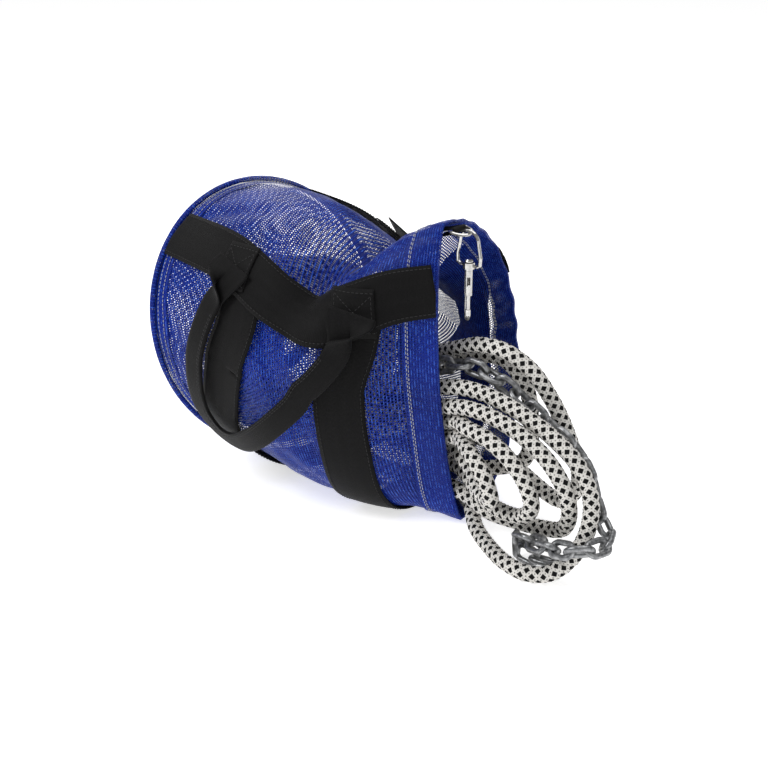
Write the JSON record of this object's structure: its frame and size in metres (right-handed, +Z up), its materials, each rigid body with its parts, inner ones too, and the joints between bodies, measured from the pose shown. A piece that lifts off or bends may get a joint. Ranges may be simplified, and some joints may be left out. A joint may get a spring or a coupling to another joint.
{
  "type": "rope bag",
  "caption": "Open-mesh barrel bag with webbing straps and handles, snap hook at the mouth, holding a braided rope and a short-link chain.",
  "frame": {"origin": "on the floor under the middle of the bag's bounding box, measured without the rope and chain", "axes": "+X from the round base towards the mouth, +Z up, -Y the near side where the snap hook's side of the mouth faces"},
  "size_m": [0.5273, 0.3111, 0.3121],
  "materials": {
    "mesh": "PVC-coated open mesh, royal blue",
    "webbing": "black polyester webbing",
    "nickel": "nickel-plated, bright",
    "spring_steel": "spring wire",
    "rope": "double-braid polyester, off-white with black flecks",
    "galvanised": "hot-dip galvanised, dull"
  },
  "bodies": {
    "bag": {"side_panel": "mesh", "base_panel": "mesh", "base_piping": "mesh", "mouth_hem": "mesh", "strap_near": "webbing", "strap_far": "webbing", "band_rear": "webbing", "band_front": "webbing", "patch_near_rear": "webbing", "patch_near_front": "webbing", "patch_far_rear": "webbing", "patch_far_front": "webbing", "ring_tab": "webbing", "end_tab": "webbing", "rope_coil": "rope", "rope_run": "rope", "chain_run": "galvanised"},
    "near_handle": {"handle_near": "webbing"},
    "far_handle": {"handle_far": "webbing"},
    "ring": {"d_ring": "nickel"},
    "eye": {"snap_eye": "nickel"},
    "hook": {"swivel_post": "nickel", "snap_hook": "nickel", "snap_spring": "spring_steel"},
    "bolt": {"snap_bolt": "nickel"}
  },
  "joints": [
    {"name": "near_handle_swing", "type": "hinge", "parent": "bag", "child": "near_handle", "pos_m": [-0.051, -0.1194, 0.2519], "axis": [-0.9849, -0.0963, 0.1442], "range_deg": [0, 125]},
    {"name": "far_handle_swing", "type": "hinge", "parent": "bag", "child": "far_handle", "pos_m": [-0.0218, 0.1107, 0.236], "axis": [0.9715, -0.1934, -0.1374], "range_deg": [0, 105]},
    {"name": "ring_swing", "type": "hinge", "parent": "bag", "child": "ring", "pos_m": [0.14712, -0.0165, 0.3025], "axis": [0, 1, 0], "range_deg": [-90, 0]},
    {"name": "eye_swing", "type": "hinge", "parent": "ring", "child": "eye", "pos_m": [0.16049, -0.0165, 0.30062], "axis": [0, 1, 0], "range_deg": [-90, 0]},
    {"name": "hook_swivel", "type": "hinge", "parent": "eye", "child": "hook", "pos_m": [0.16049, -0.0165, 0.27032], "axis": [0, 0, 1], "continuous": true},
    {"name": "bolt_slide", "type": "slide", "parent": "hook", "child": "bolt", "axis": [0, 0, 1], "range_m": [0, 0.006], "stiffness_N_per_m": 250, "springref_m": -0.003, "deforming": ["snap_spring"]}
  ]
}
